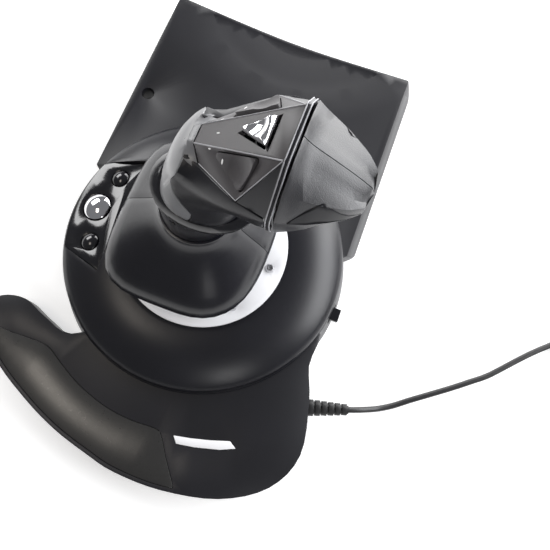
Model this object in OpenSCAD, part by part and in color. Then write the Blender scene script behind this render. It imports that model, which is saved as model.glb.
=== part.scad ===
// Flight joystick with a round base, two wings, a twisting handle and a USB lead.
// +X is the pilot's right, +Y points away from the pilot, +Z is up.
// The origin lies on the desk, straight under the stick's axis.

/* [Base] */
// Radius of the domed disc that carries the stick
disc_r = 90; // [88:0.5:92]
// Height of the disc's outer edge above the desk
disc_edge_z = 25.4; // [24.5:0.1:26.5]
// Height of the flat ring plate's top face
ring_z = 40; // [39.5:0.1:41]
// Outer radius of the ring plate
ring_r = 52.3; // [50:0.1:53]
// Height of the top faces of both wings
wing_z = 18; // [17:0.1:18.5]
// Thickness of moulded walls
wall = 2.6; // [2.2:0.1:3]

/* [Docking wing] */
// Reach of the left wing from the stick's axis
wing_left = 178; // [170:1:190]
// Radius of the docking hole near the wing's front edge
dock_hole_r = 4.5; // [3:0.1:5]

/* [Stick] */
// Height of the gimbal's two crossing axes
pivot_z = 28; // [27:0.5:29]
// Height of the skirt's lower rim
skirt_z = 64; // [63:0.5:67]
// Height where the skirt meets the neck collar
neck_z = 102; // [100:0.5:104]
// Radius of the neck collar
neck_r = 18.6; // [17:0.1:19]

/* [Buttons] */
// Radius of the large domed button
guide_r = 8.6; // [7:0.1:8.8]
// Radius of the two small console buttons
small_r = 5.3; // [4.5:0.1:5.5]

/* [Lead] */
// Diameter of the USB lead
cord_d = 3.8; // [3.4:0.1:4]

/* [Hidden] */
$fn = 64;

eps = 0.01;
foot_z = 3;
floor_t = 2.5;
ring_t = 2.5;
dome_rim_z = 20;
disc_foot_r = 94.5;
wing_front_y = -92;
wing_rear_y = 88;
dock_centre = [-215, 0];
dock_r = 103;
dock_hole = [-94, -82];
screw_ring_r = 43.5;
shaft_r = 6;
ring_hole_r = 27;

// Plan points of the right wing, from its rear edge round to its tip
wing_points = [[20, 84], [45, 88.5], [66, 96], [98, 101.5], [122, 90], [138, 64],
    [145, 30], [145, 0], [141, -20], [135, -42], [126, -64], [112, -90],
    [96, -110], [82, -116], [72, -108], [69, -94], [75, -78], [79, -58], [60, -30],
    [40, 30]];
// Plan points of the glossy palm panel, inner edge first
panel_points = [[91, -92], [90.5, -80], [91, -68], [97, -57], [104, -44], [109, -31],
    [112.6, -17], [114, -2], [113.5, 14], [117, 19], [127, 26], [140, 36]];
// Plan points of the slanted trim strip
strip_points = [[113.5, 24.7], [111.5, 35], [108.5, 46.7], [104.8, 58.3],
    [107.9, 63.4], [111.9, 54.5], [115.7, 40], [117.7, 28.4]];

console_tilt = 12;
console_origin = [0, -71, 31.2];
guide_y = -3;
small_x = 23;
small_y = 3;

// ---- general shapes ----

// Catmull-Rom point between b and c
function cr(a, b, c, d, t) =
    0.5 * ((2 * b) + (c - a) * t + (2 * a - 5 * b + 4 * c - d) * t * t
    + (3 * b - a - 3 * c + d) * t * t * t);

// Closed smooth outline through pts, n steps per span
function closed_curve(pts, n) = let (m = len(pts))
    [for (i = [0:m - 1], k = [0:n - 1])
        cr(pts[(i + m - 1) % m], pts[i], pts[(i + 1) % m], pts[(i + 2) % m], k / n)];

// Open smooth line through pts, n steps per span
function open_curve(pts, n) = let (m = len(pts)) concat(
    [for (i = [0:m - 2], k = [0:n - 1])
        cr(pts[max(i - 1, 0)], pts[i], pts[i + 1], pts[min(i + 2, m - 1)], k / n)],
    [pts[m - 1]]);

// Solid through a list of rings that all hold the same number of points
module loft(rings) {
    n = len(rings[0]);
    m = len(rings);
    points = [for (r = rings) each r];
    sides = [for (i = [0:m - 2], j = [0:n - 1])
        each [[i * n + j, i * n + (j + 1) % n, (i + 1) * n + j],
            [i * n + (j + 1) % n, (i + 1) * n + (j + 1) % n, (i + 1) * n + j]]];
    first = [[for (j = [n - 1:-1:0]) j]];
    last = [[for (j = [0:n - 1]) (m - 1) * n + j]];
    polyhedron(points, concat(sides, first, last), convexity = 6);
}

function quad(a, b, c, d) = [[a, b, c], [a, c, d]];

// Wall between an outer and an inner grid of points, rows by columns, closed at its four edges
module shell(outer, inner) {
    m = len(outer);
    n = len(outer[0]);
    k = m * n;
    points = concat([for (r = outer) each r], [for (r = inner) each r]);
    faces = [for (i = [0:m - 2], j = [0:n - 2]) let (a = i * n + j)
        each concat(quad(a, a + 1, a + n + 1, a + n),
            quad(k + a, k + a + n, k + a + n + 1, k + a + 1))];
    low = [for (j = [0:n - 2]) each quad(j, k + j, k + j + 1, j + 1)];
    high = [for (j = [0:n - 2]) let (a = (m - 1) * n + j) each quad(a, a + 1, k + a + 1, k + a)];
    start = [for (i = [0:m - 2]) let (a = i * n) each quad(a, a + n, k + a + n, k + a)];
    end = [for (i = [0:m - 2]) let (a = i * n + n - 1) each quad(a, k + a, k + a + n, a + n)];
    polyhedron(points, concat(faces, low, high, start, end), convexity = 8);
}

// Tube with round section along a path of points
function unit(v) = v / norm(v);
function path_dir(p, i) = unit(p[min(i + 1, len(p) - 1)] - p[max(i - 1, 0)]);
function side_of(d) = abs(d.z) > 0.9 ? unit(cross(d, [1, 0, 0])) : unit(cross(d, [0, 0, 1]));
function tube_ring(c, d, r, n) = let (u = side_of(d), v = cross(d, u))
    [for (j = [0:n - 1]) c + r * (cos(360 * j / n) * u + sin(360 * j / n) * v)];
module tube(p, r, n) {
    loft([for (i = [0:len(p) - 1]) tube_ring(p[i], path_dir(p, i), r, n)]);
}

// Cylinder between two heights
module post(z0, z1, r) {
    translate([0, 0, z0]) cylinder(h = z1 - z0, r = r);
}

// Cross-head screw standing on z = 0 with its shank below
module screw(head_r, head_h, shank_r, shank_l) {
    difference() {
        union() {
            cylinder(h = head_h, r1 = head_r, r2 = head_r * 0.7);
            translate([0, 0, -shank_l]) cylinder(h = shank_l + eps, r = shank_r);
        }
        translate([0, 0, head_h])
            for (a = [0, 90])
                rotate(a) cube([head_r * 1.1, head_r * 0.28, head_h], center = true);
    }
}

// ---- base ----

// Right wing in plan, pulled in by d
module right_wing_plan(d) {
    offset(delta = -d) polygon(closed_curve(wing_points, 4));
}

// Left wing as a solid with sloping walls, pulled in by d
module left_wing_solid(d, top) {
    front = wing_front_y - 2;
    rear = wing_rear_y + 7;
    intersection() {
        translate([-30, 0, 0]) rotate([90, 0, -90])
            linear_extrude(wing_left - 30)
                polygon([[-rear + d, foot_z - 1], [-wing_rear_y + d, top],
                    [-wing_front_y - d, top], [-front - d, foot_z - 1]]);
        linear_extrude(top + 1) offset(r = 9 - d) offset(delta = -9)
            polygon([[-28, front], [-wing_left, front], [-wing_left, rear],
                [-39, rear], [-28, rear - 12]]);
    }
}

module base_solid(d, top) {
    intersection() {
        union() {
            translate([0, 0, foot_z - 1])
                cylinder(h = dome_rim_z - foot_z + 1, r1 = disc_foot_r + 0.2 - d,
                    r2 = disc_r + 0.5 - d, $fn = 120);
            left_wing_solid(d, top);
            linear_extrude(top) right_wing_plan(d);
        }
        translate([-200, -150, foot_z]) cube([400, 300, 60]);
    }
}

module base_shell() color([0.16, 0.16, 0.18]) {
    difference() {
        base_solid(0, wing_z);
        translate([0, 0, -eps]) base_solid(wall, wing_z - wall);
        // opening under the dome
        post(wing_z - wall - 1, dome_rim_z + 1, disc_r - 6);
        // sloping seat for the neighbouring unit
        translate([dock_centre.x, dock_centre.y, 0])
            rotate_extrude($fn = 120)
                polygon([[0, 8], [dock_r, wing_z], [dock_r, 40], [0, 40]]);
        translate([dock_hole.x, dock_hole.y, 0]) post(-1, 30, dock_hole_r);
        // pocket for the palm panel
        translate([0, 0, wing_z - 1.6]) linear_extrude(3) palm_plan(0);
        translate([0, 0, wing_z - 1]) linear_extrude(3) strip_plan(0);
        // window for the mode switch
        translate([7, disc_foot_r - 3, 13]) cube([13.4, 14, 4.4], center = true);
        // hole for the strain relief
        relief_place() translate([0, 0, -6]) cylinder(h = 12, r = 4.2);
    }
    // floor of the docking seat and the tube around the docking hole
    intersection() {
        base_solid(0.2, wing_z);
        translate([dock_centre.x, dock_centre.y, 0])
            rotate_extrude($fn = 120)
                polygon([[0, 8 - wall], [dock_r, wing_z - wall], [dock_r, wing_z - eps], [0, 8]]);
    }
    for (p = bottom_holes)
        translate([p.x, p.y, 0]) difference() {
            post(foot_z + floor_t + 0.1, wing_z - wall + 0.1, 3.4);
            post(-1, 12.5, 1.4);
        }
    translate([dock_hole.x, dock_hole.y, 0]) difference() {
        post(foot_z + floor_t, wing_z - wall + 0.2, dock_hole_r + 2.4);
        post(-1, 30, dock_hole_r);
    }
}

module relief_place() {
    translate([69, 97.2, 10]) rotate([-90, 0, 17]) children();
}

function dome_z(r) = disc_edge_z + (ring_z - 1.4 - disc_edge_z)
    * sin(90 * pow((disc_r - r) / (disc_r - ring_r), 0.8));
dome_outline = [for (r = [disc_r - 1.2:-(disc_r - 1.2 - ring_r) / 14:ring_r]) [r, dome_z(r)]];

module base_dome() color([0.17, 0.17, 0.19]) {
    difference() {
        rotate_extrude($fn = 120)
            polygon(concat([[disc_r - 3, dome_rim_z], [disc_r + 0.3, dome_rim_z],
                [disc_r, disc_edge_z - 1]], dome_outline,
                [[ring_r + 0.1, ring_z - ring_t], [ring_hole_r + 2, ring_z - ring_t],
                [ring_hole_r + 2, ring_z - ring_t - 2.4], [ring_r + 2, ring_z - ring_t - 2.4],
                [disc_r - 14, 31], [disc_r - 4, disc_edge_z - 2.2]]));
        console_place() translate([0, 0, -2.4]) linear_extrude(20) console_plan(-0.15);
        for (a = [0:45:315])
            rotate(a) translate([screw_ring_r, 0, 30]) cylinder(h = 12, r = 1.3);
    }
}

module console_place() {
    translate(console_origin) rotate([console_tilt, 0, 0]) children();
}

// Panel outline: a trapezoid whose near side follows the disc's edge
module console_plan(d) {
    intersection() {
        offset(delta = -d) polygon([[-28.5, -20], [-39, 17], [39, 17], [28.5, -20]]);
        translate([0, -console_origin.y]) circle(r = disc_r - 1.6 - d, $fn = 120);
        difference() {
            square([120, 60], center = true);
            translate([0, -console_origin.y]) circle(r = ring_r + 1.2 + d, $fn = 120);
        }
    }
}

module console_panel() color([0.1, 0.1, 0.12]) {
    console_place() difference() {
        translate([0, 0, -2.4]) linear_extrude(2.4) console_plan(0);
        translate([0, guide_y, -3]) cylinder(h = 5, r = guide_r + 0.9);
        for (s = [-1, 1])
            translate([s * small_x, small_y, -3]) cylinder(h = 5, r = small_r + 0.7);
    }
}

module domed_button(r, h) {
    rise = r * 0.36;
    ball = (r * r + rise * rise) / (2 * rise);
    translate([0, 0, -6]) cylinder(h = 6 + h, r = r);
    translate([0, 0, h]) intersection() {
        translate([0, 0, rise - ball]) sphere(r = ball, $fn = 96);
        cylinder(h = ball, r = r);
    }
    translate([0, 0, -6]) cylinder(h = 1.6, r = r + 2);
}

module guide_button() color([0.8, 0.8, 0.82])
    console_place() translate([0, guide_y, -0.4]) domed_button(guide_r, 0.9);

module console_button(s) color([0.2, 0.2, 0.22])
    console_place() translate([s * small_x, small_y, -0.4]) domed_button(small_r, 0.6);

module console_board() color([0.1, 0.35, 0.2])
    console_place() {
        translate([0, 0, -10.4]) linear_extrude(1.4)
            intersection() {
                square([62, 16], center = true);
                translate([0, -console_origin.y]) circle(r = disc_r - 6);
            }
        for (p = [[-small_x, small_y], [0, guide_y], [small_x, small_y]])
            translate([p.x, p.y, -9]) linear_extrude(1.3) square(5, center = true);
    }

module ring_plate() color([0.93, 0.93, 0.94]) {
    difference() {
        post(ring_z - ring_t, ring_z, ring_r);
        post(ring_z - ring_t - 1, ring_z + 1, ring_hole_r);
        for (a = [0:45:315])
            rotate(a) translate([screw_ring_r, 0, ring_z - ring_t - 1]) cylinder(h = 5, r = 1.6);
    }
}

module ring_screws() color([0.75, 0.74, 0.72])
    for (a = [0:45:315])
        rotate(a) translate([screw_ring_r, 0, ring_z]) screw(2.9, 1.4, 1.25, 5);

module palm_plan(d) {
    offset(delta = -d) intersection() {
        polygon(concat(open_curve(panel_points, 3), [[170, 40], [170, -140], [88, -140]]));
        right_wing_plan(2.4);
    }
}

module palm_panel() color([0.3, 0.3, 0.3])
    translate([0, 0, wing_z - 1.6]) linear_extrude(2) palm_plan(0.25);

module strip_plan(d) {
    offset(delta = -d) polygon(strip_points);
}

module trim_strip() color([0.95, 0.95, 0.95])
    translate([0, 0, wing_z - 1]) linear_extrude(1.3) strip_plan(0.15);

feet = [[0, 0], [-62, -50], [-62, 50], [55, -60], [60, 62], [-160, -76], [-160, 76], [118, 70],
    [104, -84]];

module rubber_feet() color([0.12, 0.12, 0.12])
    for (p = feet)
        translate([p.x, p.y, 0]) {
            cylinder(h = foot_z, r = 7);
            cylinder(h = foot_z + 1, r = 4);
        }

bottom_holes = [[-77, -40], [-77, 40], [-14, 85], [14, -85], [-140, -60], [-140, 60],
    [108, 56], [112, -40]];

module bottom_cover() color([0.14, 0.14, 0.15]) {
    difference() {
        translate([0, 0, foot_z]) linear_extrude(floor_t)
            union() {
                circle(r = disc_r - 1, $fn = 120);
                polygon([[-170, -88], [-33, -88], [-28, -84], [-28, 83], [-39, 83.5],
                    [-39, 89], [-170, 89]]);
                right_wing_plan(wall + 0.6);
            }
        for (p = feet) translate([p.x, p.y, foot_z - 1]) cylinder(h = 3, r = 4.1);
        for (p = bottom_holes) translate([p.x, p.y, 0]) cylinder(h = 9, r = 1.7);
        translate([dock_hole.x, dock_hole.y, 0]) cylinder(h = 9, r = dock_hole_r);
        translate([0, 46, 0]) cylinder(h = 9, r = 11.5);
    }
}

module bottom_screws() color([0.6, 0.6, 0.62])
    for (p = bottom_holes)
        translate([p.x, p.y, foot_z]) mirror([0, 0, 1]) screw(2.8, 1.2, 1.4, 9);

module ballast_plates() color([0.5, 0.5, 0.5]) {
    translate([-105, 0, foot_z + floor_t]) linear_extrude(4)
        difference() {
            square([44, 120], center = true);
            for (y = [-60, 60]) translate([-35, y]) circle(r = 4);
        }
    translate([0, -62, foot_z + floor_t]) linear_extrude(4) square([90, 22], center = true);
}

module main_board() color([0.1, 0.35, 0.2])
    translate([60, 20, foot_z + floor_t + 3]) {
        linear_extrude(1.6) square([36, 60], center = true);
        for (y = [-22, 22]) translate([0, y, -3]) cylinder(h = 3.2, r = 2.5);
        translate([-8, 0, 1.6]) linear_extrude(1.4) square([10, 10], center = true);
        translate([10, 20, 1.6]) linear_extrude(4) square([6, 12], center = true);
    }

// ---- gimbal ----

trunnion_r = 3;
frame_in = 14.5;
frame_out = 19;

module gimbal_housing() color([0.2, 0.2, 0.22]) {
    z0 = foot_z + floor_t;
    difference() {
        union() {
            translate([0, 0, z0]) linear_extrude(2.5) square([80, 60], center = true);
            for (s = [-1, 1])
                translate([s * 27, 0, (z0 + 34.8) / 2]) cube([7, 26, 34.8 - z0], center = true);
        }
        translate([-40, 0, pivot_z]) rotate([0, 90, 0]) cylinder(h = 80, r = trunnion_r + 0.05);
    }
}

module gimbal_frame() color([0.85, 0.85, 0.82]) {
    difference() {
        union() {
            translate([0, 0, pivot_z]) cube([2 * frame_out, 2 * frame_out, 9], center = true);
            translate([-30.5, 0, pivot_z]) rotate([0, 90, 0]) cylinder(h = 61, r = trunnion_r);
        }
        translate([0, 0, pivot_z]) cube([2 * frame_in, 2 * frame_in, 12], center = true);
        translate([0, -40, pivot_z]) rotate([-90, 0, 0]) cylinder(h = 80, r = trunnion_r + 0.05);
    }
}

module stick_shaft() color([0.55, 0.55, 0.57]) {
    difference() {
        union() {
            translate([0, 0, pivot_z]) cube([22, 22, 13], center = true);
            translate([0, -18.5, pivot_z]) rotate([-90, 0, 0]) cylinder(h = 37, r = trunnion_r);
            post(pivot_z, neck_z - 12, shaft_r);
            post(neck_z - 14, neck_z - 3, 11);
        }
        post(60, neck_z, 3.95);
    }
}

module roll_sensor() color([0.25, 0.3, 0.45])
    translate([0, 19.2, pivot_z]) rotate([-90, 0, 0]) {
        linear_extrude(3) square([10, 10], center = true);
        cylinder(h = 4, r = 3.5);
    }

module pitch_sensor() color([0.25, 0.3, 0.45])
    translate([31, 0, pivot_z]) rotate([0, 90, 0]) {
        cylinder(h = 8, r = 6.5);
        translate([8, 0, 2]) linear_extrude(2) square([9, 12], center = true);
    }

spring_z0 = 45;
spring_z1 = 84;

module centering_spring() color([0.7, 0.7, 0.72]) {
    turns = 6;
    steps = 20;
    rise = (spring_z1 - spring_z0 - 2.4) / turns;
    tube([for (i = [0:turns * steps]) let (a = 360 * i / steps, k = i / (turns * steps))
        [(13 - 2 * k) * cos(a), (13 - 2 * k) * sin(a), spring_z0 + 1.1 + rise * i / steps]], 1, 8);
}

module spring_plate() color([0.9, 0.9, 0.88])
    difference() {
        union() {
            post(spring_z0 - 2.5, spring_z0, 18);
            post(spring_z0 - 0.1, spring_z0 + 4, 9);
        }
        post(spring_z0 - 4, spring_z0 + 5, shaft_r + 0.05);
    }

// ---- skirt ----

// Rim radius of the skirt by direction: a rounded shield, wide at its rear corners
function skirt_rim(a) = let (
    x = cos(a),
    y = sin(a),
    power = y < 0 ? 4.2 : 2.7,
    reach = y < 0 ? 47 : 41)
    pow(pow(abs(x) / 50, power) + pow(abs(y) / reach, power), -1 / power);

// Profile of the bell: height share and the share of the rim's reach left there
bell = open_curve([[0, 1], [0.1, 0.99], [0.27, 0.86], [0.48, 0.55], [0.72, 0.22], [0.9, 0.04],
    [1, 0]], 2);
skirt_steps = 24;
function skirt_ring(b, inset) = let (r0 = neck_r + 1.4 - inset)
    [for (i = [0:skirt_steps]) let (a = -90 + 180 * i / skirt_steps,
        r = r0 + (skirt_rim(a) - inset - r0) * b[1])
        [r * cos(a), r * sin(a), skirt_z + (neck_z - 0.4 - skirt_z) * b[0]]];

module skirt_half(half) color([0.12, 0.12, 0.14])
    translate([half > 0 ? 0.05 : -0.05, 0, 0]) mirror([half < 0 ? 1 : 0, 0, 0])
        shell([for (b = bell) skirt_ring(b, 0)], [for (b = bell) skirt_ring(b, 2.4)]);

module skirt_screws() color([0.7, 0.7, 0.7])
    for (y = [-18, 18])
        translate([-2.5, y, neck_z - 6]) rotate([0, 90, 0]) cylinder(h = 5, r = 1);

// ---- handle ----

module twist_core() color([0.75, 0.75, 0.72]) {
    post(neck_z - 30, neck_z - 2.6, 3.9);
    post(neck_z - 2.6, neck_z + 2, 12);
    post(neck_z + 2, 156, 7);
}

module twist_sensor() color([0.25, 0.3, 0.45])
    translate([0, 0, neck_z - 35]) cylinder(h = 4.6, r = 3.5);

module neck_collar() color([0.13, 0.13, 0.15])
    difference() {
        post(neck_z, 128, neck_r);
        post(neck_z - 1, 130, neck_r - 2.6);
        // lock hole of the twist axis
        rotate(-14) translate([neck_r + 1, 0, 120]) rotate([0, -90, 0]) cylinder(h = 6, r = 1.9);
    }

// Grip column: height, centre y, half-width, half-depth
grip_rows = [[131, 6, 19.4, 21.5], [138, 6, 18.2, 19.6],
    [148, 7, 18, 18.8], [158, 9.5, 18.8, 18.6], [167, 13, 20.6, 19.6],
    [174, 17, 22.4, 20.4], [180, 21, 22, 19]];

// Height and y of the seam between the grip halves and the palm shell
seam = [[134.6, 5], [139, 7], [143, 7], [150, 3], [158, -0.5], [168, -1], [176, 2.5], [180, 3]];
column_rows = open_curve(grip_rows, 2);
function row_at(z, k) = lookup(z, [for (r = column_rows) [r[0], r[k]]]);
function seam_angle(z) = let (u = (lookup(z, seam) - row_at(z, 1)) / row_at(z, 3))
    asin(sign(u) * pow(min(1, abs(u)), 1 / 0.88));
function column_point(z, t, d) = [
    (row_at(z, 2) - d) * sign(cos(t)) * pow(abs(cos(t)), 0.88),
    row_at(z, 1) + (row_at(z, 3) - d) * sign(sin(t)) * pow(abs(sin(t)), 0.88), z];

// Nose rows along y: y, top z, ridge half-width, outer half-width, outer z, low half-width, low z
nose_rows = [[41.6, 208.2, 9.6, 25.4, 190.5, 20, 164], [48, 204.8, 9.2, 23.8, 189.5, 18.6, 165],
    [55, 201, 8.8, 20.8, 188, 16.6, 167], [62, 197.2, 8.2, 16.6, 186.5, 14, 170.5],
    [68, 193.6, 7, 12.4, 185.5, 11, 174.5], [72.6, 190.4, 4.6, 7.6, 184.6, 7, 179]];

split_z = 158;
grip_cols = 14;
// Upper edge of the right grip half, from the palm seam round the face to the trigger
grip_rim = open_curve([column_point(180, seam_angle(180), 0), [10.9, 9.6, 179.4], [18, 21, 185],
    [23, 29.4, 189], [25.2, 40.4, 189.4], [24, 40.5, 178], [20, 40.4, 168], [10, 41.6, 164.4],
    [0, 42.2, 164]], 4);
function rim_at(v) = let (q = v * (len(grip_rim) - 1), i = min(floor(q), len(grip_rim) - 2))
    grip_rim[i] + (q - i) * (grip_rim[i + 1] - grip_rim[i]);
function split_point(v) = let (t0 = seam_angle(split_z)) column_point(split_z, t0 + v * (90 - t0), 0);
// Point of the upper skin: u runs from the column to the rim, v from the palm seam to the front
function upper_point(u, v) = let (
    z = split_z + (180 - split_z) * u,
    back = column_point(z, seam_angle(z), 0) - (1 - u) * split_point(0) - u * rim_at(0),
    bulge = 2.2 * sin(180 * u) * v * (1 - v))
    (1 - u) * split_point(v) + u * rim_at(v) + pow(1 - v, 2) * back + [bulge, 0, 0];
grip_skin = concat(
    [for (z = [134.6, 138, 142, 146, 150, 154]) let (t0 = seam_angle(z))
        [for (j = [0:grip_cols]) column_point(z, t0 + (90 - t0) * j / grip_cols, 0)]],
    [for (i = [0:6]) [for (j = [0:grip_cols]) upper_point(i / 6, j / grip_cols)]]);
function shrink(p, d) = let (q = [0, lookup(p.z, [[134, 7], [160, 10], [180, 25], [208, 36]]),
    lookup(p.z, [[134, 134], [158, 157], [166, 169], [190, 182], [208, 190]])]) p + d * unit(q - p);

module grip_half(s) color([0.2, 0.2, 0.22])
    translate([s * 0.06, 0, 0]) mirror([s < 0 ? 1 : 0, 0, 0])
        shell(grip_skin, [for (r = grip_skin) [for (p = r) shrink(p, 2.4)]]);

palm_heights = [134.6, 138, 142, 146, 150, 154, 158, 162, 166, 170, 174, 177, 179.4];
function palm_row(z, d) = let (t0 = seam_angle(z) - 0.8)
    [for (j = [0:24]) column_point(z, -180 - t0 + (180 + 2 * t0) * j / 24, d)];
// Point of the palm shell's top edge, which closes up to the three facets
function palm_top(p) = let (x = 1.25 * p.x, k = max(0, (abs(x) - 4.2) / 5.8))
    [x, 5 + 4 * k, 182.4 - 2.9 * k];
function palm_skin(d) = let (
    rows = [for (z = palm_heights) palm_row(z, d)],
    last = rows[len(rows) - 1])
    concat(rows, [for (k = [0.45, 1]) [for (p = last) p + k * (palm_top(p) - [0, 0, d * 0.7] - p)
        - [0, 4 * k * (1 - k), 0]]]);
module palm_shell() color([0.5, 0.5, 0.52])
    shell(palm_skin(0), palm_skin(2.4));

module hand_rest() color([0.14, 0.14, 0.16])
    difference() {
        hull() {
            translate([0, 6, 132.6]) scale([1, 1.16, 1]) cylinder(h = 1.8, r = 19.2, $fn = 32);
            translate([0, 6, 129]) scale([1, 1.3, 1]) cylinder(h = 2, r = 20.8, $fn = 32);
            translate([0, 4, 126]) scale([1, 1.2, 1]) cylinder(h = 2, r = 19.2, $fn = 32);
        }
        post(120, 128.05, neck_r + 0.02);
        post(127, 140, 12);
    }

// ---- head ----

face_tilt = atan((208 - 182) / (41 - 5.5));
ridge_in = [4.2, 5.5, 182.6];
ridge_out = [11, 41, 208.6];
corner = [22.4, 29, 189.6];
heel = [10, 9.5, 179.6];

// A plate under three or more points, t thick along the direction n
module plate(pts, n, t) {
    hull() loft([pts, [for (p = pts) p - n * t]]);
}

function mirror_x(p) = [-p.x, p.y, p.z];
mid_n = unit(cross([0, 35.5, 26], [-1, 0, 0]));
side_n = unit(cross(corner - ridge_in, ridge_out - ridge_in));

module face_plates(t) {
    plate([mirror_x(ridge_in), ridge_in, ridge_out, mirror_x(ridge_out)], mid_n, t);
    for (m = [0, 1]) mirror([m, 0, 0])
        plate([ridge_in, heel, corner, ridge_out], side_n, t);
}

// Places children on the middle facet: x across, y along the slope, z out of the face
module mid_place() {
    translate([0, 32, 202]) rotate([face_tilt, 0, 0]) children();
}

// Frame of the right facet, with its origin at the middle of the button
side_c = (ridge_in + ridge_out + corner) / 3;
side_u = unit(ridge_out - ridge_in);
side_v = cross(side_n, side_u);
module side_place(s) {
    mirror([s < 0 ? 1 : 0, 0, 0])
        multmatrix([[side_u.x, side_v.x, side_n.x, side_c.x], [side_u.y, side_v.y, side_n.y, side_c.y],
            [side_u.z, side_v.z, side_n.z, side_c.z], [0, 0, 0, 1]]) children();
}

// Outline of the hat switch's foot, and where its pivot sits on the middle facet
hat_plan = [[0, -9.8], [-6.1, 3.8], [6.1, 3.8]];
hat_shift = -1.5;
hat_gap = 1;

module thumb_plan(d) {
    offset(r = 1.2) offset(delta = -1.2 + d) polygon([[-12.5, 4.4], [11.5, 5], [4.2, -8.4]]);
}

module head_face() color([0.36, 0.35, 0.36])
    difference() {
        face_plates(2.4);
        mid_place() translate([0, hat_shift, -8])
            linear_extrude(16) offset(delta = hat_gap) polygon(hat_plan);
        for (s = [-1, 1])
            side_place(s) translate([0, 0, -8]) linear_extrude(16) thumb_plan(0);
        // end against the rim's rear face
        translate([-40, 40.85, 150]) cube([80, 10, 80]);
    }

scoop_r = 17;
module thumb_button(s) color([0.3, 0.3, 0.31])
    side_place(s) {
        difference() {
            translate([0, 0, -5]) linear_extrude(6.5) thumb_plan(-0.45);
            // scoop for the tip of the thumb
            translate([3.6, -0.6, scoop_r + 0.3]) sphere(r = scoop_r, $fn = 48);
        }
        translate([0, 0, -4.6]) linear_extrude(1.2) thumb_plan(0.5);
    }

hat_axis_z = -4.6;
hat_pin_r = 0.9;

module hat_socket() color([0.15, 0.15, 0.16])
    mid_place() translate([0, hat_shift, 0]) difference() {
        translate([0, 0, -9]) cylinder(h = 5.6, r = 6.1);
        translate([0, 0, -8]) cylinder(h = 6, r = 5);
        translate([0, 0, hat_axis_z]) rotate([0, 90, 0])
            cylinder(h = 20, r = hat_pin_r + 0.05, center = true);
    }

module hat_pivot() color([0.6, 0.6, 0.6])
    mid_place() translate([0, hat_shift, hat_axis_z]) {
        rotate([0, 90, 0]) cylinder(h = 11.6, r = hat_pin_r, center = true);
        rotate([90, 0, 0]) cylinder(h = 7, r = hat_pin_r, center = true);
        cube([3, 3, 2.4], center = true);
    }

module hat_switch() color([0.85, 0.85, 0.86])
    mid_place() translate([0, hat_shift, 0]) difference() {
        union() {
            translate([0, 0, -2.8]) cylinder(h = 3.2, r = 3.6);
            for (s = [-1, 1])
                translate([0, s * 2.7, -4.3]) cube([2.8, 1.5, 3.4], center = true);
            hull() {
                linear_extrude(0.8) polygon(hat_plan);
                translate([0, 0, 3]) linear_extrude(0.4) polygon([[0, -7.6], [-4.6, 2.6], [4.6, 2.6]]);
            }
        }
        // dish for the thumb
        translate([0, -0.8, 11.4]) sphere(r = 9.4, $fn = 64);
        translate([0, 0, hat_axis_z]) rotate([90, 0, 0])
            cylinder(h = 20, r = hat_pin_r + 0.05, center = true);
    }

band_side = [25, 41.2, 190];
cheek_n = unit(cross(band_side - corner, ridge_out - corner));
half_band = [[20.5, 167], [22.8, 174], [24.6, 182], [25.4, 190.4], [20.6, 197.2],
    [15.6, 203.4], [11, 208.8], [5, 209]];
function band(y, grow, d) = let (k = len(half_band))
    [for (p = concat(half_band, [for (i = [k - 1:-1:0]) [-half_band[i].x, half_band[i].y]]))
        let (c = [0, 188], q = p + (grow - d) * unit(p - c)) [q.x, y, q.y]];
module head_rim() color([0.6, 0.6, 0.62]) {
    shell([band(40.9, 0, 0), band(41.5, 0.5, 0), band(42.6, 0.5, 0), band(43, 0, 0)],
        [for (y = [40.9, 41.5, 42.6, 43]) band(y, 0, 2.2)]);
    // cheeks between the facets and the band
    for (m = [0, 1]) mirror([m, 0, 0])
        plate([corner + [0.4, 0.4, 0], ridge_out + [0.6, 0, -0.6], band_side], cheek_n, 1);
}

pin_at = [55.5, 179.5];
pin_r = 1.5;
nose_lines = concat([nose_rows[0] + [2.6, 0, 0, 0, 0, 0, 0]],
    [for (i = [1:len(nose_rows) - 1]) nose_rows[i]]);
// Height of the nose's lower edge by y, over the trigger
function nose_edge(y) = lookup(y, [[43, 166.5], [48, 169], [53, 174], [57, 181], [60, 186.6],
    [66, 185.4], [73, 183.6], [76, 183]]);
// Drop of the nose's two top planes from the middle seam to their outer edges
function roof(y) = lookup(y, [[44, 0.6], [49, 2.6], [74, 2.6]]);
function nose_side(r, d) = let (
    f = max(0.06, min(1, (r[4] - nose_edge(r[0])) / (r[4] - r[6]))),
    low = [r[3] + (r[5] - r[3]) * f, r[4] + (r[6] - r[4]) * f],
    h = roof(r[0]),
    top = [[0, r[1]], [r[2] * 0.5, r[1] - 0.5 * h], [r[2], r[1] - h],
        [(r[2] + r[3]) / 2 + 1.4, (r[1] + r[4]) / 2 + 2], [r[3], r[4]]],
    mid = (top[4] + low) / 2 + [0.6 * f, 0])
    [for (p = concat(top, [mid, low])) let (c = [0, (r[1] + r[6]) / 2], q = p - d * unit(p - c))
        [max(0, q.x), r[0] - d * 0.4, q.y]];
nose_curves = open_curve(nose_lines, 2);
tip_scale = 0.05;
function nose_skin(d) = let (rows = [for (r = nose_curves) nose_side(r, d)], e = rows[len(rows) - 1])
    concat(rows, [for (k = [0.75, tip_scale])
        [for (p = e) [p.x * k, p.y + (1 - k) * 1.6, 187 + (p.z - 187) * k]]]);

module nose_half(s) color([0.3, 0.3, 0.31])
    translate([s * 0.15, 0, 0]) mirror([s < 0 ? 1 : 0, 0, 0])
        shell(nose_skin(0), nose_skin(2.2));

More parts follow.
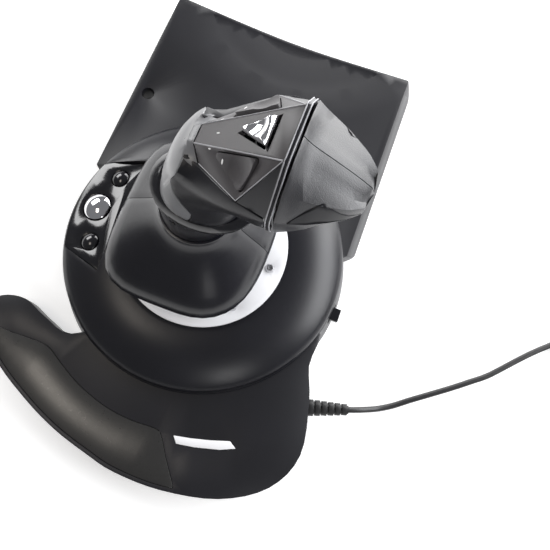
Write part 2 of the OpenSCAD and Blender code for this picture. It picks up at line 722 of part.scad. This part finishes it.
// Saddle under the nose that holds the trigger's pin between two ears
ear_x = 10.6;
module trigger_bracket() color([0.16, 0.16, 0.17])
    difference() {
        union() {
            for (m = [0, 1]) mirror([m, 0, 0])
                translate([ear_x, pin_at.x - 3, pin_at.y - 3]) cube([3, 6, 12]);
            translate([-ear_x - 3, pin_at.x - 3, pin_at.y + 6.4]) cube([2 * ear_x + 6, 6, 2.6]);
        }
        translate([0, pin_at.x, pin_at.y]) rotate([0, 90, 0])
            cylinder(h = 60, r = pin_r, center = true);
    }

module trigger_pin() color([0.7, 0.7, 0.7])
    translate([0, pin_at.x, pin_at.y]) rotate([0, 90, 0])
        cylinder(h = 2 * ear_x + 6.6, r = pin_r, center = true);

// Trigger lever: y, z, half-width and half-thickness from the nose down to the fingertip
lever = [[73.5, 181, 4.4, 1.6], [69, 180.8, 7.6, 3.2], [64, 179.4, 9.6, 4.6], [60, 175.6, 10, 4.8],
    [56.6, 169, 8.6, 3.8], [53, 160, 7, 3], [50, 151, 6.4, 2.7], [49.6, 143, 5.8, 2.3],
    [52, 137, 4.6, 1.5]];
module trigger() color([0.13, 0.13, 0.15])
    difference() {
        union() {
            lever_body();
            // lug around the pin
            translate([0, pin_at.x, pin_at.y]) rotate([0, 90, 0])
                cylinder(h = 16, r = 3, center = true);
            translate([-8, pin_at.x, pin_at.y - 2.4]) cube([16, 6, 4.8]);
        }
        translate([0, pin_at.x, pin_at.y]) rotate([0, 90, 0])
            cylinder(h = 60, r = pin_r + 0.05, center = true);
    }

module lever_body() {
    p = open_curve(lever, 2);
    loft([for (i = [0:len(p) - 1]) let (
        q = p[min(i + 1, len(p) - 1)] - p[max(i - 1, 0)],
        d = unit([q[0], q[1]]),
        n = [-d.y, d.x])
        [for (j = [0:15]) let (c = cos(22.5 * j), e = sin(22.5 * j),
            h = p[i][3] * sign(e) * pow(abs(e), 0.7))
            [p[i][2] * sign(c) * pow(abs(c), 0.7), p[i][0] + n.x * h, p[i][1] + n.y * h]]]);
}

module trigger_spring() color([0.7, 0.7, 0.72])
    tube([for (i = [0:48]) let (a = 360 * i / 12)
        [2.6 * cos(a), 45.8 + i * 0.12, 173.4 + 2.6 * sin(a)]], 0.4, 6);

module grip_board() color([0.1, 0.35, 0.2])
    translate([0, 18, 164]) rotate([face_tilt, 0, 0])
        linear_extrude(1.4) square([20, 24], center = true);

module grip_screws() color([0.6, 0.6, 0.62])
    for (p = [[16, 141], [14, 154], [28, 166]])
        translate([12, p.x, p.y]) rotate([0, -90, 0]) cylinder(h = 22, r = 1.2);

// ---- smaller base pieces ----

module tension_wheel() color([0.2, 0.2, 0.2])
    translate([0, 46, 1]) {
        cylinder(h = 3.4, r = 11);
        cylinder(h = 8, r = 3);
    }

module mode_switch_body() color([0.2, 0.2, 0.22])
    translate([7, 85.4, 13]) cube([16, 5, 7], center = true);

module mode_switch_knob() color([0.08, 0.08, 0.1])
    translate([7, 92.4, 13]) cube([8.6, 8.6, 3.8], center = true);

// ---- lead ----

relief_len = 26;
module strain_relief() color([0.1, 0.1, 0.1])
    relief_place() {
        translate([0, 0, -3]) cylinder(h = 3.4, r = 4.1);
        for (i = [0:5])
            translate([0, 0, i * relief_len / 6])
                cylinder(h = relief_len / 6 - 1.1, r = 5.2 - i * 0.32);
        cylinder(h = relief_len, r1 = 4, r2 = 2.6);
    }

cord_r = cord_d / 2;
coil_at = [-28, 281];
coil_mean = 21;
coil_wide = 4 * cord_d;
coil_high = 3 * cord_d;
relief_end = [69, 97.2, 10] + relief_len * [-sin(17), cos(17), 0];
// Route of the free lead from the strain relief to the coil
cord_points = [relief_end, [59, 128.5, 8.6], [56.5, 134.5, 6], [53, 142, 3], [47.5, 151, 1.95],
    [41, 159.5, 1.95], [34.5, 168.5, 1.95], [28, 177.5, 1.95], [21, 187, 1.95], [14, 196, 1.95],
    [7, 205, 1.95], [-1.5, 213.5, 1.95], [-11, 222.5, 1.95], [-20.5, 232, 1.95],
    [-29.5, 242, 1.95], [-38, 252, 1.95], [-47, 262, 1.95]];
// Short tail from the coil to the plug
tail_points = [[-28, 307.7, 1.95], [-20, 308, 1.95], [-11, 310, 1.95]];

module cord() color([0.08, 0.08, 0.08]) {
    tube(open_curve(cord_points, 3), cord_r, 8);
    tube(open_curve(tail_points, 3), cord_r, 8);
}

module cord_coil() color([0.08, 0.08, 0.08])
    translate([coil_at.x, coil_at.y, 0.1])
        rotate_extrude($fn = 64)
            translate([coil_mean - coil_wide / 2, 0]) square([coil_wide, coil_high]);

module coil_tie() color([0.1, 0.1, 0.1])
    translate([coil_at.x + coil_mean, coil_at.y, 0])
        difference() {
            translate([-coil_wide / 2 - 1.2, -4, 0]) cube([coil_wide + 2.4, 8, coil_high + 1.3]);
            translate([-coil_wide / 2, -5, 0.1]) cube([coil_wide, 10, coil_high]);
        }

plug_at = [-3, 311, 0];
module usb_overmould() color([0.1, 0.1, 0.1]) {
    translate(plug_at) translate([0, -8, 0]) cube([20, 16, 8]);
    hull() {
        translate([-12, 310, 2.2]) rotate([0, 90, 0]) cylinder(h = 1, r = 2.15);
        translate([-3.5, 311, 4]) rotate([0, 90, 0]) cylinder(h = 1, r = 3.6);
    }
}

module usb_plug() color([0.7, 0.7, 0.7])
    translate(plug_at + [20, -6, 1.75]) cube([12, 12, 4.5]);

base_shell();
base_dome();
bottom_cover();
console_panel();
ring_plate();
ring_screws();
palm_panel();
trim_strip();
rubber_feet();
ballast_plates();
bottom_screws();
main_board();
console_board();
gimbal_housing();
roll_sensor();
pitch_sensor();
tension_wheel();
mode_switch_body();
mode_switch_knob();
guide_button();
console_button(-1);  // console_button_left
console_button(1);  // console_button_right
strain_relief();
cord();
cord_coil();
coil_tie();
usb_overmould();
usb_plug();
gimbal_frame();
stick_shaft();
centering_spring();
spring_plate();
skirt_half(-1);  // skirt_left
skirt_half(1);  // skirt_right
skirt_screws();
twist_sensor();
twist_core();
neck_collar();
hand_rest();
grip_half(-1);  // grip_left
grip_half(1);  // grip_right
palm_shell();
head_face();
head_rim();
nose_half(-1);  // nose_left
nose_half(1);  // nose_right
grip_screws();
grip_board();
hat_socket();
hat_pivot();
hat_switch();
thumb_button(-1);  // thumb_button_left
thumb_button(1);  // thumb_button_right
trigger();
trigger_bracket();
trigger_pin();
trigger_spring();
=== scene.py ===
"""Flight joystick: materials, detail pieces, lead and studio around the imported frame."""

import bpy
import math
from mathutils import Matrix, Vector


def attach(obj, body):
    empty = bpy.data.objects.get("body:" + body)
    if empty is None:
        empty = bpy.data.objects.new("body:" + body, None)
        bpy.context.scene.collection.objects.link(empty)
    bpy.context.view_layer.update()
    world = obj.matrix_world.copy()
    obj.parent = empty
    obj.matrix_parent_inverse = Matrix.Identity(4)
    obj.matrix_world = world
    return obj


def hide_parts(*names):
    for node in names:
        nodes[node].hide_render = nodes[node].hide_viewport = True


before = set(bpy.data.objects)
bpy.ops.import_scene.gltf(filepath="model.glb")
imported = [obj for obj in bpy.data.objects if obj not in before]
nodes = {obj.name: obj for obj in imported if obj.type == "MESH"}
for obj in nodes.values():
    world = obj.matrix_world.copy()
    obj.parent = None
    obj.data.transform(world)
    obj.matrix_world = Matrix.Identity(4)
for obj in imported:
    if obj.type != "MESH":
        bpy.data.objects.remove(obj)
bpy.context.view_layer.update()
MM = 0.001
BEVEL_WIDTH = 0.35
BEVEL_ANGLE = 35
SPLIT_ANGLE = 32


# ---- camera ----

def make_camera():
    """Camera above the stick, with the pilot's side at the left of the picture."""
    data = bpy.data.cameras.new("camera")
    data.sensor_width = 36
    data.lens = 36.39
    camera = bpy.data.objects.new("camera", data)
    bpy.context.scene.collection.objects.link(camera)
    right = Vector((-0.34702, 0.93511, 0.07179))
    down = Vector((0.90244, 0.35377, -0.24587))
    look = Vector((-0.25531, -0.02053, -0.96664))
    turn = Matrix((right, -down, -look)).transposed().to_4x4()
    camera.matrix_world = Matrix.Translation((0.09054, 0.05508, 0.37179)) @ turn
    bpy.context.scene.camera = camera


make_camera()


# ---- material helpers ----

def node_tree(name):
    material = bpy.data.materials.new(name)
    material.use_nodes = True
    tree = material.node_tree
    return material, tree, tree.nodes["Principled BSDF"]


def plastic(name, color, rough=0.4, grain=900, bump=0.1, vary=0.12, coat=0.0, metal=0.0,
            level=0.5, blotch=25, depth=0.0001):
    """Moulded plastic, rubber or metal: fine grain in the surface, slow change in shade and gloss."""
    material, tree, shader = node_tree(name)
    link = tree.links.new
    place = tree.nodes.new("ShaderNodeTexCoord")

    slow = tree.nodes.new("ShaderNodeTexNoise")
    slow.inputs["Scale"].default_value = blotch
    slow.inputs["Detail"].default_value = 4
    link(place.outputs["Object"], slow.inputs["Vector"])

    shade = tree.nodes.new("ShaderNodeValToRGB")
    low = [c * (1 - vary) for c in color]
    high = [min(1, c * (1 + vary)) for c in color]
    shade.color_ramp.elements[0].position = 0.35
    shade.color_ramp.elements[0].color = (*low, 1)
    shade.color_ramp.elements[1].position = 0.65
    shade.color_ramp.elements[1].color = (*high, 1)
    link(slow.outputs["Fac"], shade.inputs["Fac"])
    link(shade.outputs["Color"], shader.inputs["Base Color"])

    fine = tree.nodes.new("ShaderNodeTexNoise")
    fine.inputs["Scale"].default_value = grain
    fine.inputs["Detail"].default_value = 3
    link(place.outputs["Object"], fine.inputs["Vector"])

    gloss = tree.nodes.new("ShaderNodeMapRange")
    gloss.inputs["To Min"].default_value = max(0.02, rough - 0.06)
    gloss.inputs["To Max"].default_value = min(1, rough + 0.06)
    link(fine.outputs["Fac"], gloss.inputs["Value"])
    link(gloss.outputs["Result"], shader.inputs["Roughness"])

    raised = tree.nodes.new("ShaderNodeBump")
    raised.inputs["Strength"].default_value = bump
    raised.inputs["Distance"].default_value = depth
    link(fine.outputs["Fac"], raised.inputs["Height"])
    link(raised.outputs["Normal"], shader.inputs["Normal"])

    shader.inputs["Metallic"].default_value = metal
    shader.inputs["Specular IOR Level"].default_value = level
    shader.inputs["Coat Weight"].default_value = coat
    shader.inputs["Coat Roughness"].default_value = 0.12
    return material


satin_black = plastic("satin_black", (0.0085, 0.0085, 0.0115), 0.33, bump=0.05, level=0.4)
wing_black = plastic("wing_black", (0.009, 0.009, 0.0118), 0.38, grain=1400, bump=0.1, level=0.4)
skirt_black = plastic("skirt_black", (0.0075, 0.0075, 0.0105), 0.24, bump=0.015, level=0.5)
gloss_black = plastic("gloss_black", (0.006, 0.006, 0.008), 0.14, bump=0.01, coat=0.3)
grey_smooth = plastic("grey_smooth", (0.17, 0.172, 0.18), 0.3, bump=0.04, vary=0.05)
panel_grey = plastic("panel_grey", (0.014, 0.0135, 0.013), 0.3, bump=0.05, level=0.8)
facet_grey = plastic("facet_grey", (0.06, 0.056, 0.06), 0.42, grain=2600, bump=0.4)
# Painted highlight: light grey for the thin lines along the facet ridges and round the bezel
highlight_grey = plastic("highlight_grey", (0.32, 0.32, 0.34), 0.3, bump=0.04, vary=0.05)
nose_black = plastic("nose_black", (0.02, 0.02, 0.023), 0.34, grain=2400, bump=0.8, level=0.6,
                     depth=0.00012)
# Painted shade: near-black for the sheets laid over the nose's lower flanks
nose_shade_black = plastic("nose_shade_black", (0.006, 0.006, 0.008), 0.3, bump=0.05, level=0.3)
white = plastic("white", (0.86, 0.86, 0.88), 0.34, bump=0.03, vary=0.02)
mark_white = plastic("mark_white", (0.8, 0.8, 0.8), 0.5, bump=0.05, vary=0.02)
chrome = plastic("chrome", (0.86, 0.86, 0.88), 0.08, bump=0.01, vary=0.02, metal=1)
steel = plastic("steel", (0.62, 0.62, 0.64), 0.28, bump=0.1, vary=0.08, metal=1)
iron = plastic("iron", (0.2, 0.2, 0.2), 0.6, bump=0.4, metal=1)
rubber = plastic("rubber", (0.007, 0.007, 0.008), 0.5, grain=1800, bump=0.2)
lead_black = plastic("lead_black", (0.008, 0.008, 0.009), 0.42, grain=2400, bump=0.15)
board_green = plastic("board_green", (0.02, 0.16, 0.06), 0.4, bump=0.1)
acetal = plastic("acetal", (0.72, 0.71, 0.66), 0.4, bump=0.05, vary=0.04)
sensor_blue = plastic("sensor_blue", (0.04, 0.07, 0.2), 0.4, bump=0.05)

LOOKS = {
    satin_black: ["base_dome", "mode_switch_body", "tension_wheel", "gimbal_housing", "hat_socket",
                  "trigger_bracket", "neck_collar", "grip_left", "grip_right", "head_rim"],
    wing_black: ["base_shell", "bottom_cover"],
    skirt_black: ["skirt_left", "skirt_right"],
    gloss_black: ["console_panel", "console_button_left", "console_button_right",
                  "mode_switch_knob", "trigger", "hand_rest"],
    panel_grey: ["palm_panel"],
    grey_smooth: ["palm_shell"],
    facet_grey: ["head_face", "thumb_button_left", "thumb_button_right"],
    nose_black: ["nose_left", "nose_right"],
    white: ["ring_plate", "trim_strip"],
    chrome: ["guide_button", "hat_switch"],
    steel: ["ring_screws", "bottom_screws", "centering_spring", "skirt_screws", "grip_screws",
            "trigger_pin", "trigger_spring", "usb_plug", "hat_pivot", "stick_shaft"],
    iron: ["ballast_plates"],
    rubber: ["rubber_feet", "strain_relief", "coil_tie", "usb_overmould"],
    lead_black: ["cord", "cord_coil"],
    board_green: ["main_board", "console_board", "grip_board"],
    acetal: ["gimbal_frame", "spring_plate", "twist_core"],
    sensor_blue: ["roll_sensor", "pitch_sensor", "twist_sensor"],
}


def dress_cad_nodes():
    """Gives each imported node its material, soft shading and rounded edges."""
    for material, names in LOOKS.items():
        for name in names:
            mesh = nodes[name].data
            mesh.materials.clear()
            mesh.materials.append(material)
    for name, node in nodes.items():
        node.data.polygons.foreach_set("use_smooth", [True] * len(node.data.polygons))
        weld = node.modifiers.new("weld", "WELD")
        weld.merge_threshold = 1e-6
        bevel = node.modifiers.new("bevel", "BEVEL")
        bevel.width = BEVEL_WIDTH * MM
        bevel.segments = 2
        bevel.limit_method = "ANGLE"
        bevel.angle_limit = math.radians(BEVEL_ANGLE)
        bevel.use_clamp_overlap = True
        bevel.harden_normals = False
        split = node.modifiers.new("edges", "EDGE_SPLIT")
        split.split_angle = math.radians(SPLIT_ANGLE)


dress_cad_nodes()


# ---- mesh helpers ----

def mesh_piece(name, points, faces, material, body, smooth=True):
    mesh = bpy.data.meshes.new(name)
    mesh.from_pydata([Vector(p) * MM for p in points], [], faces)
    mesh.materials.append(material)
    mesh.polygons.foreach_set("use_smooth", [smooth] * len(mesh.polygons))
    piece = bpy.data.objects.new(name, mesh)
    bpy.context.scene.collection.objects.link(piece)
    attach(piece, body)
    return piece


def curve_piece(name, points, radius, material):
    """Round line through points in millimetres."""
    data = bpy.data.curves.new(name, "CURVE")
    data.dimensions = "3D"
    data.bevel_depth = radius * MM
    data.bevel_resolution = 4
    data.resolution_u = 4
    data.use_fill_caps = True
    line = data.splines.new("POLY")
    line.points.add(len(points) - 1)
    for spot, p in zip(line.points, points):
        spot.co = (p[0] * MM, p[1] * MM, p[2] * MM, 1)
    data.materials.append(material)
    piece = bpy.data.objects.new(name, data)
    bpy.context.scene.collection.objects.link(piece)
    return piece


def catmull(points, steps):
    """Smooth line through points, with that many steps between neighbours."""
    points = [Vector(p) for p in points]
    line = []
    for i in range(len(points) - 1):
        a = points[max(i - 1, 0)]
        b, c = points[i], points[i + 1]
        d = points[min(i + 2, len(points) - 1)]
        for k in range(steps):
            t = k / steps
            line.append(0.5 * (2 * b + (c - a) * t + (2 * a - 5 * b + 4 * c - d) * t * t
                               + (3 * b - a - 3 * c + d) * t ** 3))
    return line + [points[-1]]


# ---- lead ----

CORD_D = 3.8
CORD_Z = 1.95
COIL = Vector((-28, 281, 0))
COIL_MEAN = 21
RELIEF = Vector((69, 97.2, 10))
RELIEF_LEN = 26
OUT = Vector((-math.sin(math.radians(17)), math.cos(math.radians(17)), 0))
CORD_ROUTE = [(59, 128.5, 8.6), (56.5, 134.5, 6), (53, 142, 3), (47.5, 151, 1.95),
              (41, 159.5, 1.95), (34.5, 168.5, 1.95), (28, 177.5, 1.95), (21, 187, 1.95),
              (14, 196, 1.95), (7, 205, 1.95), (-1.5, 213.5, 1.95), (-11, 222.5, 1.95),
              (-20.5, 232, 1.95), (-29.5, 242, 1.95), (-38, 252, 1.95)]
# Angle about the coil, distance from its middle and height of the free end, over the top and down
TAIL = [(204, 15.6, 10.8), (184, 17, 13), (166, 20.5, 13.5), (150, 24.5, 13.5), (139, 27, 13.5),
        (130, 30.2, 12.6), (121, 31.4, 9.3), (110, 31.6, 5.4), (98, 31.2, 2.7)]
TAIL_END = [(-21, 311.2, 2.1), (-11.4, 310, 2.1)]
LAYERS = 3
TURNS_A_LAYER = 4
TURN_STEPS = 24
COIL_START = 225
STEP_OVER_AT = 0.7


def round_coil(angle, reach, height):
    angle = math.radians(angle)
    return COIL + Vector((reach * math.cos(angle), reach * math.sin(angle), height))


def coil_turns():
    """Turns from the bottom layer's outside inwards and back, layer by layer."""
    radii = []
    for layer in range(LAYERS):
        across = [COIL_MEAN + CORD_D * (1.5 - k) for k in range(TURNS_A_LAYER)]
        if layer % 2:
            across.reverse()
        radii += [(r, CORD_Z + layer * CORD_D) for r in across]
    points = []
    for turn, (r, z) in enumerate(radii):
        after = radii[min(turn + 1, len(radii) - 1)]
        for k in range(TURN_STEPS):
            t = max(0, (k / TURN_STEPS - STEP_OVER_AT) / (1 - STEP_OVER_AT))
            share = t * t * (3 - 2 * t)
            points.append(round_coil(COIL_START - 360 * k / TURN_STEPS,
                                     r + (after[0] - r) * share, z + (after[1] - z) * share))
    return points


def make_lead():
    start = RELIEF + OUT * RELIEF_LEN
    way_in = catmull([start] + [Vector(p) for p in CORD_ROUTE] + [coil_turns()[0]], 3)
    turns = coil_turns()
    way_out = catmull([turns[-1]] + [round_coil(*p) for p in TAIL] + [Vector(p) for p in TAIL_END],
                      3)
    points = way_in[:-1] + turns[:-1] + way_out
    piece = curve_piece("lead", points, CORD_D / 2, lead_black)
    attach(piece, "base")
    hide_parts("cord", "cord_coil")
    length = sum((b - a).length for a, b in zip(points, points[1:])) * MM
    return piece, start * MM, length


lead, lead_exit, lead_length = make_lead()


# ---- handle details ----

RIDGE_IN = Vector((4.2, 5.5, 182.6))
RIDGE_OUT = Vector((11, 41, 208.6))
CORNER = Vector((22.4, 29, 189.6))
HEEL = Vector((10, 9.5, 179.6))


def flip(p, side):
    return Vector((p[0] * side, p[1], p[2]))


def ride_highlight(piece, body):
    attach(piece, body)
    return piece


def make_ridge_highlights():
    """Thin light lines along the ridges between the facets and round the bezel: painted highlights on
    these edges.
    """
    for side, word in ((1, "right"), (-1, "left")):
        ridge = [flip(RIDGE_IN.lerp(RIDGE_OUT, k / 8), side) for k in range(9)]
        ride_highlight(curve_piece(f"facet_ridge_highlight_{word}", ridge, 0.28, highlight_grey), "handle")
        edge = [flip(HEEL.lerp(CORNER, k / 8), side) for k in range(9)]
        edge += [flip(CORNER.lerp(RIDGE_OUT, k / 8), side) for k in range(1, 9)]
        ride_highlight(curve_piece(f"facet_edge_highlight_{word}", edge, 0.22, highlight_grey), "handle")
    half = [(20.7, 167), (23, 174), (24.9, 182), (25.7, 190.4), (20.9, 197.4), (15.8, 203.7),
            (11.1, 209)]
    hoop = half + [(0, 209.3)] + [(-x, z) for x, z in reversed(half)]
    for y, name in ((41.4, "bezel_highlight_rear"), (42.9, "bezel_highlight_front")):
        line = catmull([(x, y, z) for x, z in hoop], 4)
        ride_highlight(curve_piece(name, line, 0.24, highlight_grey), "handle")


def facet_frame(side):
    """Middle, across, along and outward directions of one side facet."""
    middle = (RIDGE_IN + RIDGE_OUT + CORNER) / 3
    out = (CORNER - RIDGE_IN).cross(RIDGE_OUT - RIDGE_IN).normalized()
    across = (RIDGE_OUT - RIDGE_IN).normalized()
    along = out.cross(across)
    return [flip(v, side) for v in (middle, across, along, out)]


def mark(name, place, out, across, size, body):
    """Small raised white dash that lies on a surface."""
    along = out.cross(across).normalized()
    points = []
    for height in (-0.1, 0.08):
        for k in range(16):
            a = 2 * math.pi * k / 16
            points.append(place + across * size[0] * math.cos(a) + along * size[1] * math.sin(a)
                          + out * height)
    sides = [(k, (k + 1) % 16, 16 + (k + 1) % 16, 16 + k) for k in range(16)]
    faces = sides + [tuple(range(15, -1, -1)), tuple(range(16, 32))]
    mesh_piece(name, points, faces, mark_white, body, smooth=False)


def make_marks():
    for side, word in ((1, "right"), (-1, "left")):
        middle, across, along, out = facet_frame(side)
        mark(f"facet_dot_{word}", middle - across * 14.5 + along * 4.6, out, across, (0.7, 0.3),
             "handle")
        mark(f"thumb_dash_{word}", middle - across * 5.4 + along * 1.2 + out * 1.5, out, across,
             (0.4, 1), f"thumb_key_{word}")
    slope = Vector((0, 35.5, 26)).normalized()
    face_out = Vector((1, 0, 0)).cross(slope)
    mark("face_dot", Vector((0, 13.6, 188.6)), face_out, Vector((1, 0, 0)), (0.3, 0.8), "handle")


# Nose rows as in the CAD: y, top z, ridge half-width, outer half-width, outer z
NOSE_ROWS = [(44.2, 208.2, 9.6, 25.4, 190.5), (48, 204.8, 9.2, 23.8, 189.5),
             (55, 201, 8.8, 20.8, 188), (62, 197.2, 8.2, 16.6, 186.5),
             (68, 193.6, 7, 12.4, 185.5), (72.6, 190.4, 4.6, 7.6, 184.6)]
ROOF_DROP = 2.6
# Painted shade on the nose's lower flanks: where the dark sheet starts, peaks and ends along y, its
# height share and its two skins
SHADE_SHEET_Y = (48.6, 58.5, 72.2)
SHADE_SHEET_RISE = 0.6
SHADE_SHEET_LIFTS = (-0.3, 0.35)


def flank_point(y, share, lift):
    """Point on the nose's right flank, from its ridge (share 0) to its outer edge (share 1)."""
    i = max(k for k in range(len(NOSE_ROWS) - 1) if NOSE_ROWS[k][0] <= y)
    a, b = NOSE_ROWS[i], NOSE_ROWS[i + 1]
    t = (y - a[0]) / (b[0] - a[0])
    _, top, ridge_x, outer_x, outer_z = [p + t * (q - p) for p, q in zip(a, b)]
    ridge = Vector((ridge_x, y, top - ROOF_DROP))
    outer = Vector((outer_x, y, outer_z))
    middle = Vector(((ridge_x + outer_x) / 2 + 1.4, y, (top + outer_z) / 2 + 2))
    if share < 0.5:
        place = ridge.lerp(middle, share * 2)
    else:
        place = middle.lerp(outer, share * 2 - 1)
    return place + lift * (place - Vector((0, y, 183))).normalized()


def make_nose_shade_sheets():
    """Smooth dark sheet low on each flank of the nose, beside the trigger: painted shade, darker than
    the nose itself.
    """
    rows, columns = 18, 6
    start, peak, end = SHADE_SHEET_Y
    for side, word in ((1, "right"), (-1, "left")):
        layers = []
        for lift in SHADE_SHEET_LIFTS:
            for i in range(rows + 1):
                y = start + (end - start) * i / rows
                rise = 1 - max((peak - y) / (peak - start), (y - peak) / (end - peak))
                top = 0.99 - SHADE_SHEET_RISE * rise
                layers += [flip(flank_point(y, top + (1 - top) * j / columns, lift), side)
                           for j in range(columns + 1)]
        wide = columns + 1
        low = (rows + 1) * wide
        faces = []
        for i in range(rows):
            for j in range(columns):
                a = i * wide + j
                faces.append((a, a + wide, a + wide + 1, a + 1))
                faces.append((low + a, low + a + 1, low + a + wide + 1, low + a + wide))
            for a in (i * wide, i * wide + columns):
                faces.append((a, low + a, low + a + wide, a + wide))
        for a in (0, rows * wide):
            faces += [(a + j, a + j + 1, low + a + j + 1, low + a + j) for j in range(columns)]
        mesh_piece(f"nose_painted_shade_{word}", layers, faces, nose_shade_black, "handle")


make_ridge_highlights()
make_marks()
make_nose_shade_sheets()


# ---- studio ----

def make_floor():
    bpy.ops.mesh.primitive_plane_add(size=60, location=(0, 0, -0.0002))
    floor = bpy.context.object
    floor.name = "floor"
    paint = plastic("floor", (0.9, 0.9, 0.9), 0.8, 40, 0.02, 0.004)
    glow = paint.node_tree.nodes["Principled BSDF"].inputs
    glow["Emission Color"].default_value = (1, 1, 1, 1)
    glow["Emission Strength"].default_value = 0.4
    floor.data.materials.append(paint)


def area_light(name, place, target, size, power, color=(1, 1, 1)):
    data = bpy.data.lights.new(name, "AREA")
    data.shape = "RECTANGLE"
    data.size, data.size_y = size
    data.energy = power
    data.color = color
    light = bpy.data.objects.new(name, data)
    bpy.context.scene.collection.objects.link(light)
    light.location = place
    light.rotation_euler = (Vector(target) - Vector(place)).to_track_quat("-Z", "Y").to_euler()


def make_studio():
    make_floor()
    area_light("key", (-0.5, 1.15, 0.8), (0, 0.03, 0.1), (1.3, 0.6), 24, (0.97, 0.98, 1))
    area_light("side", (1.1, 0.7, 1.0), (0, 0, 0.05), (0.4, 0.4), 3)
    area_light("left", (-1.25, 0.35, 0.4), (0, 0.03, 0.15), (1.5, 0.8), 26)
    area_light("near", (-0.6, -0.95, 0.6), (0, 0, 0.1), (0.7, 0.5), 9)
    area_light("warm", (0.2, -0.4, 1.05), (0.12, -0.05, 0.02), (0.34, 0.24), 1.6, (1, 0.92, 0.82))
    world = bpy.data.worlds.new("studio")
    world.use_nodes = True
    world.node_tree.nodes["Background"].inputs["Color"].default_value = (0.95, 0.96, 1, 1)
    world.node_tree.nodes["Background"].inputs["Strength"].default_value = 0.2
    bpy.context.scene.world = world
    bpy.context.scene.view_settings.view_transform = "Standard"


make_studio()
